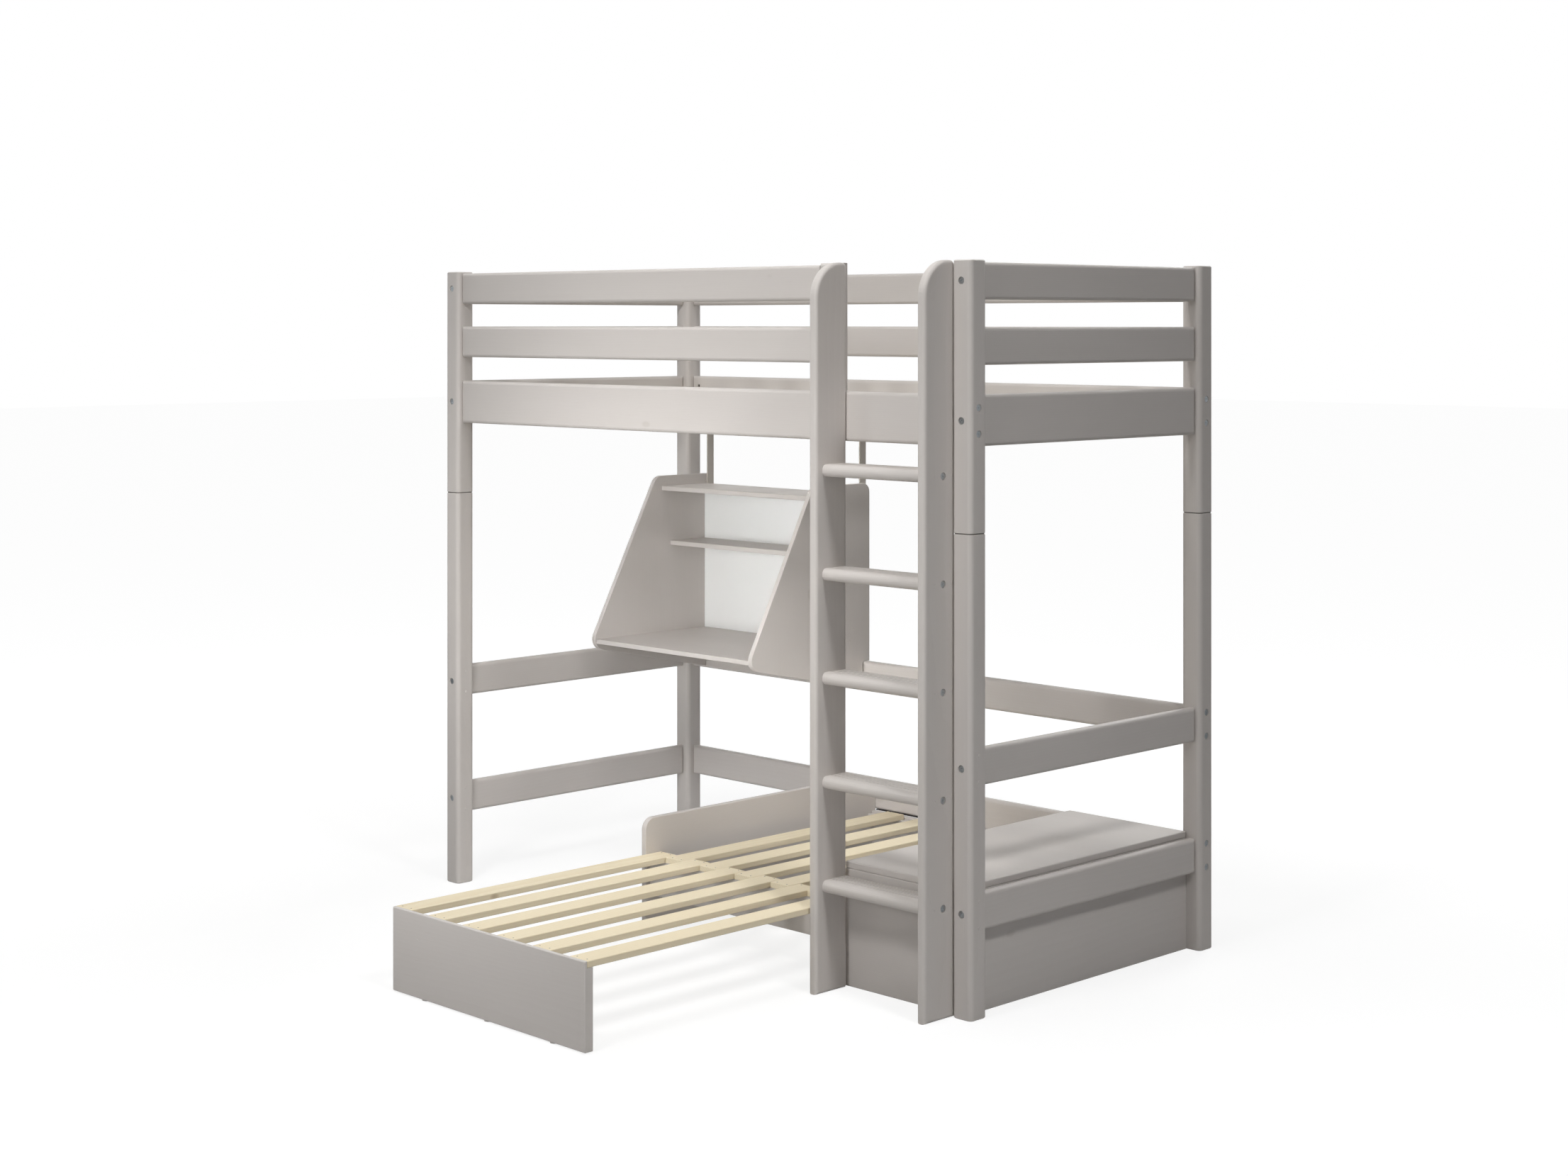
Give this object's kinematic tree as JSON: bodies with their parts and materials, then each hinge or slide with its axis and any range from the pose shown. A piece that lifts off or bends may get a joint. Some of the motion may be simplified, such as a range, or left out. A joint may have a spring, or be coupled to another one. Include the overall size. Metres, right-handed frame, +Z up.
{
  "type": "loft bed",
  "caption": "Raised bed on square posts with guard rails, a ladder, a hung desk with shelves, a slatted guest bed that pulls out like a drawer and a bench box with a loose lid.",
  "frame": {"origin": "on the floor, at the middle of the rectangle that the bed covers with its guest bed pulled out", "axes": "+X along the bed towards the ladder end, +Y from the ladder side to the wall side, +Z up"},
  "size_m": [2.1, 1.829, 1.845],
  "materials": {
    "lacquered_pine": "warm light grey lacquer, satin",
    "pine_slats": "bare planed pine",
    "white_board": "white faced fibreboard",
    "strap_steel": "painted flat steel"
  },
  "bodies": {
    "bed_frame": {"bed_board_front": "lacquered_pine", "bed_board_left": "lacquered_pine", "bed_board_rear": "lacquered_pine", "bed_board_right": "lacquered_pine", "bench_floor": "lacquered_pine", "bench_front": "lacquered_pine", "bench_rear": "lacquered_pine", "bench_side_left": "lacquered_pine", "bench_side_right": "lacquered_pine", "desk_back_panel": "white_board", "desk_shelf_high": "lacquered_pine", "desk_shelf_low": "lacquered_pine", "desk_side_left": "lacquered_pine", "desk_side_right": "lacquered_pine", "desk_strap_left": "strap_steel", "desk_strap_right": "strap_steel", "desk_worktop": "lacquered_pine", "end_rail_left_high": "lacquered_pine", "end_rail_left_low": "lacquered_pine", "end_rail_right_high": "lacquered_pine", "end_rail_right_low": "lacquered_pine", "guard_end_batten": "lacquered_pine", "guard_rail_high_front": "lacquered_pine", "guard_rail_high_left": "lacquered_pine", "guard_rail_high_rear": "lacquered_pine", "guard_rail_high_right": "lacquered_pine", "guard_rail_low_front": "lacquered_pine", "guard_rail_low_left": "lacquered_pine", "guard_rail_low_rear": "lacquered_pine", "guard_rail_low_right": "lacquered_pine", "guest_bed_apron": "lacquered_pine", "guest_bed_arm": "lacquered_pine", "guest_bed_cleat": "lacquered_pine", "guest_bed_rear_board": "lacquered_pine", "guest_bed_slat_1": "pine_slats", "guest_bed_slat_2": "pine_slats", "guest_bed_slat_3": "pine_slats", "guest_bed_slat_4": "pine_slats", "guest_bed_slat_5": "pine_slats", "ladder_rung_1": "lacquered_pine", "ladder_rung_2": "lacquered_pine", "ladder_rung_3": "lacquered_pine", "ladder_rung_4": "lacquered_pine", "ladder_rung_5": "lacquered_pine", "ladder_stile_left": "lacquered_pine", "ladder_stile_right": "lacquered_pine", "post_lower_front_left": "lacquered_pine", "post_lower_front_right": "lacquered_pine", "post_lower_rear_left": "lacquered_pine", "post_lower_rear_right": "lacquered_pine", "post_upper_front_left": "lacquered_pine", "post_upper_front_right": "lacquered_pine", "post_upper_rear_left": "lacquered_pine", "post_upper_rear_right": "lacquered_pine", "upper_slat_base": "pine_slats", "wall_rail_high": "lacquered_pine", "wall_rail_low": "lacquered_pine"},
    "pullout": {"pullout_front": "lacquered_pine", "pullout_slats": "pine_slats"},
    "bench_lid_body": {"bench_lid": "lacquered_pine"}
  },
  "joints": [
    {"name": "guest_bed_slide", "type": "slide", "parent": "bed_frame", "child": "pullout", "axis": [0, 1, 0], "range_m": [0, 0.838]},
    {"name": "bench_lid_lift", "type": "slide", "parent": "bed_frame", "child": "bench_lid_body", "axis": [0, 0, 1], "range_m": [0, 0.3]}
  ]
}
